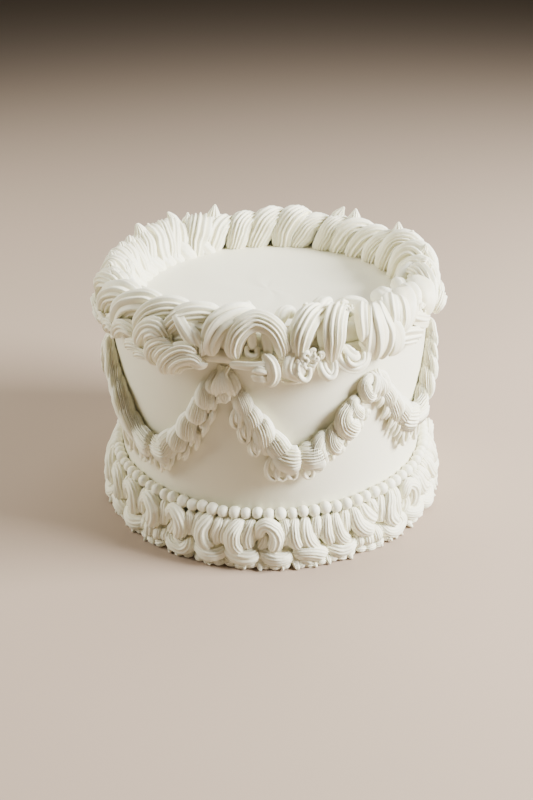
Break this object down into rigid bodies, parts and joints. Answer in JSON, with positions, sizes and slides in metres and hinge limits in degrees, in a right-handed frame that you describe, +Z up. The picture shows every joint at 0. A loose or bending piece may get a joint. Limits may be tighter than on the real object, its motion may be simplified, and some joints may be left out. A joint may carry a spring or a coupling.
{
  "type": "iced celebration cake",
  "caption": "Round iced cake with a piped rope rim, garlands hung on its side, a string of beads and a shell border at its foot.",
  "frame": {"origin": "on the cake's axis, in the plane of the flat base that it rests on", "axes": "+Z up along the cake's axis; -Y towards the picture's front; +X to the picture's right"},
  "size_m": [0.1818, 0.1818, 0.1292],
  "materials": {
    "smooth_buttercream": "smooth off-white buttercream, softly matt, with faint spatula marks",
    "piped_buttercream": "piped off-white buttercream, ridged by the star tip, with a soft sheen"
  },
  "bodies": {
    "root": {"cake_body": "smooth_buttercream", "rim_rope": "piped_buttercream", "rim_under_shells": "piped_buttercream", "swag_1": "piped_buttercream", "swag_2": "piped_buttercream", "swag_3": "piped_buttercream", "swag_4": "piped_buttercream", "swag_5": "piped_buttercream", "swag_6": "piped_buttercream", "swag_7": "piped_buttercream", "pearl_string": "piped_buttercream", "base_shells": "piped_buttercream", "base_ruffle": "piped_buttercream"}
  },
  "joints": []
}
